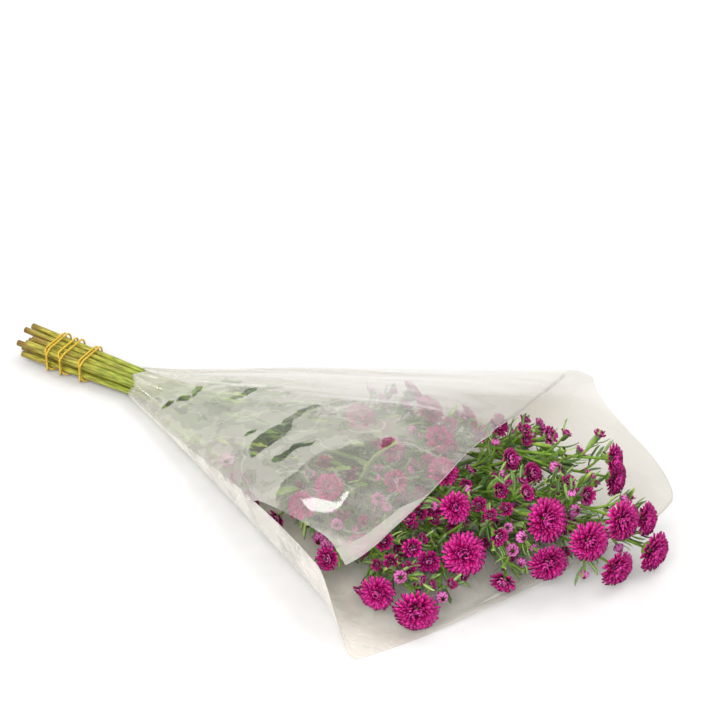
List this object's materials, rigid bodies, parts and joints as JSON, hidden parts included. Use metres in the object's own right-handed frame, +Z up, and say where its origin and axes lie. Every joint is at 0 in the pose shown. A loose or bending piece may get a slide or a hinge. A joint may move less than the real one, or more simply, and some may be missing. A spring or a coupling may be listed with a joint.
{
  "type": "wrapped bunch of spray asters",
  "caption": "Cut bunch of magenta double spray asters lying in a clear film sleeve, its bare stems held by rubber bands.",
  "frame": {"origin": "centre of the bounding box in X and Y, on the surface that the bunch lies on", "axes": "+X along the bunch from the cut ends towards the blooms, +Z up"},
  "size_m": [0.5618, 0.3542, 0.0935],
  "materials": {
    "stem": "satin green stems and leaves",
    "petals": "soft matte petals",
    "band": "smooth rubber",
    "film": "clear film with a milky haze"
  },
  "bodies": {
    "root": {"bloom_00_0": "petals", "bloom_00_1": "petals", "bloom_00_2": "petals", "bloom_00_3": "petals", "bloom_01_0": "petals", "bloom_01_1": "petals", "bloom_01_2": "petals", "bloom_01_3": "petals", "bloom_02_0": "petals", "bloom_02_1": "petals", "bloom_02_2": "petals", "bloom_03_0": "petals", "bloom_03_1": "petals", "bloom_04_0": "petals", "bloom_04_1": "petals", "bloom_04_2": "petals", "bloom_04_3": "petals", "bloom_05_0": "petals", "bloom_05_1": "petals", "bloom_05_2": "petals", "bloom_05_3": "petals", "bloom_05_4": "petals", "bloom_10_0": "petals", "bloom_10_1": "petals", "bloom_10_2": "petals", "bloom_10_3": "petals", "bloom_11_0": "petals", "bloom_11_1": "petals", "bloom_11_2": "petals", "bloom_11_3": "petals", "bloom_11_4": "petals", "bloom_12_0": "petals", "bloom_12_1": "petals", "bloom_12_2": "petals", "bloom_12_3": "petals", "bloom_13_0": "petals", "bloom_13_1": "petals", "bloom_13_2": "petals", "bloom_13_3": "petals", "bloom_13_4": "petals", "bloom_14_0": "petals", "bloom_14_1": "petals", "bloom_14_2": "petals", "bloom_14_3": "petals", "stem_00": "stem", "stem_01": "stem", "stem_02": "stem", "stem_03": "stem", "stem_04": "stem", "stem_05": "stem", "stem_10": "stem", "stem_11": "stem", "stem_12": "stem", "stem_13": "stem", "stem_14": "stem", "rubber_band_1": "band", "rubber_band_2": "band", "rubber_band_3": "band", "sleeve_film": "film"}
  },
  "joints": []
}
